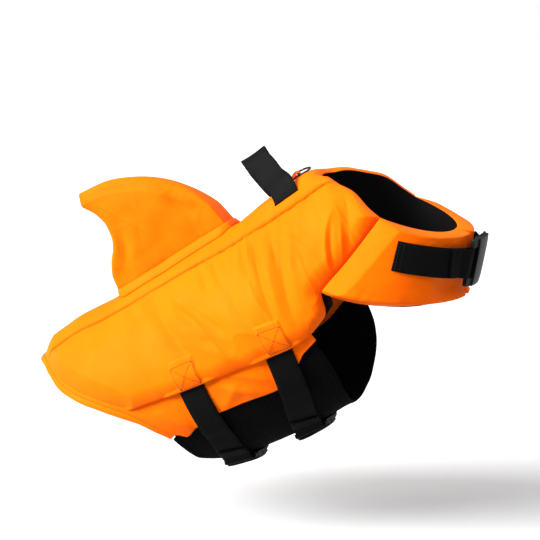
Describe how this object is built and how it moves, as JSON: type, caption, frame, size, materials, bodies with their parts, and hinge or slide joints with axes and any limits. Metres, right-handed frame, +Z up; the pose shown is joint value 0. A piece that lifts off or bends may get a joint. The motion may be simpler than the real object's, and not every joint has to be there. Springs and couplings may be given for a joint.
{
  "type": "dog life jacket",
  "caption": "Worn dog life jacket: hollow padded shell open at neck, legs and hem, with a stuffed fin, grab handle, leash ring, mesh belly panel and buckled webbing straps.",
  "frame": {"origin": "the inner face of the back, over the dog's spine, where the dog's back holds the jacket", "axes": "+X the way the dog faces, +Y the dog's left, +Z up; the back is pitched up towards +X by 35.4 degrees as on a dog that sits"},
  "size_m": [0.449, 0.1938, 0.3118],
  "materials": {
    "orange_cloth": "coated woven cloth with a soft sheen",
    "black_webbing": "ribbed matt webbing",
    "black_mesh": "matt spacer mesh with small holes",
    "black_lining": "matt fine lining cloth",
    "dark_plastic": "moulded, satin",
    "dark_metal": "dark plated wire"
  },
  "bodies": {
    "jacket": {"spine_strip": "orange_cloth", "side_panel_right": "orange_cloth", "side_panel_left": "orange_cloth", "rear_hem_right": "orange_cloth", "rear_hem_left": "orange_cloth", "lower_flap_right": "orange_cloth", "lower_flap_left": "orange_cloth", "chest_panel_right": "orange_cloth", "chest_panel_left": "orange_cloth", "fin_base": "orange_cloth", "fin": "orange_cloth", "ring_tab": "orange_cloth", "handle": "black_webbing", "belly_strap_rear_right": "black_webbing", "belly_strap_rear_left": "black_webbing", "belly_strap_front_right": "black_webbing", "belly_strap_front_left": "black_webbing", "chest_strap_right": "black_webbing", "chest_strap_left": "black_webbing", "belly_panel": "black_mesh", "armhole_lining_right": "black_lining", "armhole_lining_left": "black_lining", "chest_lining_right": "black_lining", "chest_lining_left": "black_lining", "belly_buckle_rear_socket": "dark_plastic", "belly_buckle_rear_plug": "dark_plastic", "belly_buckle_front_socket": "dark_plastic", "belly_buckle_front_plug": "dark_plastic", "chest_buckle_socket": "dark_plastic", "chest_buckle_plug": "dark_plastic"},
    "leash_ring": {"leash_ring": "dark_metal"}
  },
  "joints": [
    {"name": "leash_ring_lift", "type": "hinge", "parent": "jacket", "child": "leash_ring", "pos_m": [0.08016, 0, 0.0753], "axis": [0.4503, -0.8901, 0.0699], "range_deg": [0, 150]}
  ]
}
